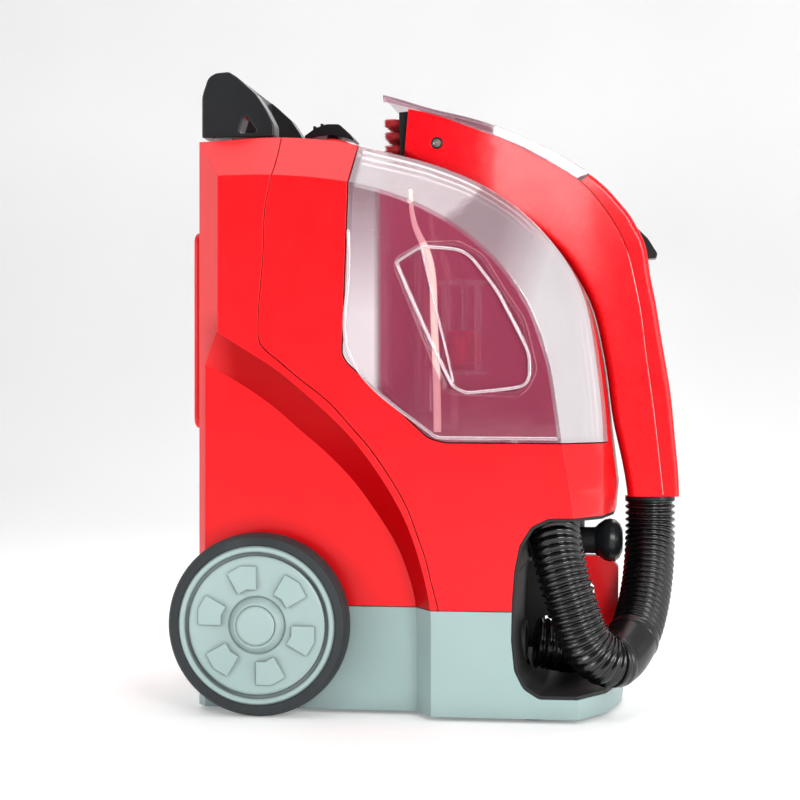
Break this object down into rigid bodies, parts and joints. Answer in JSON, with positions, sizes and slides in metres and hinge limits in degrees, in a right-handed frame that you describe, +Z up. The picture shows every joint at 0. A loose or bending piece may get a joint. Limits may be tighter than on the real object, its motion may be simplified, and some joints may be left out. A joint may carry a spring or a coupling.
{
  "type": "spot extractor",
  "caption": "Compact wheeled spot-cleaning extractor with side tanks, docked hose hand tool, wrapped suction hose, telescoping handle and rear cord bay.",
  "frame": {"origin": "middle of the overall length and width, at floor level under the wheels and feet", "axes": "+Z up, +X towards the hose and hand tool side (front), +Y to the machine's left"},
  "size_m": [0.3554, 0.2504, 0.4596],
  "materials": {
    "red_plastic": "gloss",
    "grey_plastic": "satin",
    "black_plastic": "satin",
    "dark_plastic": "matte",
    "tyre_rubber": "matte",
    "soft_rubber": "matte",
    "hose_plastic": "gloss",
    "clear_tank": "clear",
    "steel": "brushed",
    "bristle": "matte",
    "white_plastic": "satin",
    "brass": "satin"
  },
  "bodies": {
    "machine": {"base_tray": "grey_plastic", "front_housing": "red_plastic", "rear_housing": "red_plastic", "rear_cover": "red_plastic", "handle_bezel": "red_plastic", "hose_bay_liner": "black_plastic", "hose_peg": "black_plastic", "hose_keeper": "red_plastic", "axle": "steel", "axle_brackets": "dark_plastic", "axle_retainers": "steel", "front_feet": "soft_rubber", "handle_guides": "dark_plastic", "vac_motor": "steel", "fan_housing": "dark_plastic", "motor_mount": "dark_plastic", "suction_duct": "soft_rubber", "recovery_duct": "dark_plastic", "solution_pump": "dark_plastic", "solution_tubes": "clear_tank", "tank_docks": "black_plastic", "dock_seals": "soft_rubber", "rocker_bracket": "dark_plastic", "cord_hook_lower": "black_plastic", "power_cord": "soft_rubber", "power_plug": "soft_rubber", "housing_screws": "steel", "vacuum_hose": "hose_plastic"},
    "right_wheel": {"right_wheel_hub": "grey_plastic", "right_tyre": "tyre_rubber", "right_hub_cap": "grey_plastic"},
    "left_wheel": {"left_wheel_hub": "grey_plastic", "left_tyre": "tyre_rubber", "left_hub_cap": "grey_plastic"},
    "handle_stage": {"handle_mid_tubes": "steel"},
    "handle": {"handle_inner_tubes": "steel", "handle_grip": "black_plastic"},
    "grip_button": {"handle_button": "grey_plastic"},
    "rotor": {"impeller": "white_plastic", "motor_shaft": "steel"},
    "rocker": {"power_rocker": "black_plastic"},
    "upper_hook": {"cord_hook_upper": "black_plastic"},
    "recovery": {"recovery_tank": "clear_tank", "float_cage": "white_plastic"},
    "drain_cap": {"recovery_drain_cap": "red_plastic"},
    "float": {"float_ball": "red_plastic"},
    "solution": {"solution_tank": "clear_tank"},
    "valve_cap": {"solution_valve_cap": "red_plastic"},
    "valve_stem": {"solution_valve_stem": "white_plastic"},
    "tool": {"tool_right_shell": "red_plastic", "tool_left_shell": "red_plastic", "tool_spine": "red_plastic", "nozzle_window": "clear_tank", "brush_holder": "black_plastic", "brush_bristles": "bristle", "spray_valve": "white_plastic", "spray_jet": "brass", "tool_screws": "steel", "tool_hose_cuff": "black_plastic"},
    "trigger": {"trigger_button": "black_plastic"}
  },
  "joints": [
    {"name": "right_wheel_spin", "type": "hinge", "parent": "machine", "child": "right_wheel", "pos_m": [-0.1137, -0.108, 0.064], "axis": [0, 1, 0], "continuous": true},
    {"name": "left_wheel_spin", "type": "hinge", "parent": "machine", "child": "left_wheel", "pos_m": [-0.1137, 0.108, 0.064], "axis": [0, 1, 0], "continuous": true},
    {"name": "handle_stage_slide", "type": "slide", "parent": "machine", "child": "handle_stage", "axis": [0, 0, 1], "range_m": [0, 0.17]},
    {"name": "handle_slide", "type": "slide", "parent": "handle_stage", "child": "handle", "axis": [0, 0, 1], "range_m": [0, 0.2]},
    {"name": "handle_button_press", "type": "slide", "parent": "handle", "child": "grip_button", "axis": [0, 0, -1], "range_m": [0, 0.003], "stiffness_N_per_m": 300, "springref_m": -0.002},
    {"name": "fan_spin", "type": "hinge", "parent": "machine", "child": "rotor", "pos_m": [-0.0797, 0, 0.2], "axis": [0, 0, 1], "continuous": true},
    {"name": "rocker_tilt", "type": "hinge", "parent": "machine", "child": "rocker", "pos_m": [-0.0797, 0, 0.398], "axis": [0, 1, 0], "range_deg": [-6, 6]},
    {"name": "cord_hook_turn", "type": "hinge", "parent": "machine", "child": "upper_hook", "pos_m": [-0.1437, 0, 0.298], "axis": [1, 0, 0], "range_deg": [0, 180]},
    {"name": "recovery_tank_lift", "type": "slide", "parent": "machine", "child": "recovery", "axis": [0.046, 0, 0.9989], "range_m": [0, 0.22]},
    {"name": "drain_cap_turn", "type": "hinge", "parent": "recovery", "child": "drain_cap", "pos_m": [0.0563, -0.084, 0.185], "axis": [0, 0, 1], "range_deg": [0, 90]},
    {"name": "float_rise", "type": "slide", "parent": "recovery", "child": "float", "axis": [0, 0, 1], "range_m": [0, 0.03]},
    {"name": "solution_tank_lift", "type": "slide", "parent": "machine", "child": "solution", "axis": [0.046, 0, 0.9989], "range_m": [0, 0.22]},
    {"name": "valve_cap_turn", "type": "hinge", "parent": "solution", "child": "valve_cap", "pos_m": [0.0563, 0.084, 0.185], "axis": [0, 0, 1], "range_deg": [0, 90]},
    {"name": "valve_stem_lift", "type": "slide", "parent": "valve_cap", "child": "valve_stem", "axis": [0, 0, 1], "range_m": [0, 0.0025], "stiffness_N_per_m": 100, "springref_m": -0.002},
    {"name": "tool_lift", "type": "slide", "parent": "machine", "child": "tool", "axis": [1, 0, 0], "range_m": [0, 0.1]},
    {"name": "trigger_press", "type": "slide", "parent": "tool", "child": "trigger", "axis": [-0.93, 0, -0.3676], "range_m": [0, 0.004], "stiffness_N_per_m": 300, "springref_m": -0.002}
  ]
}
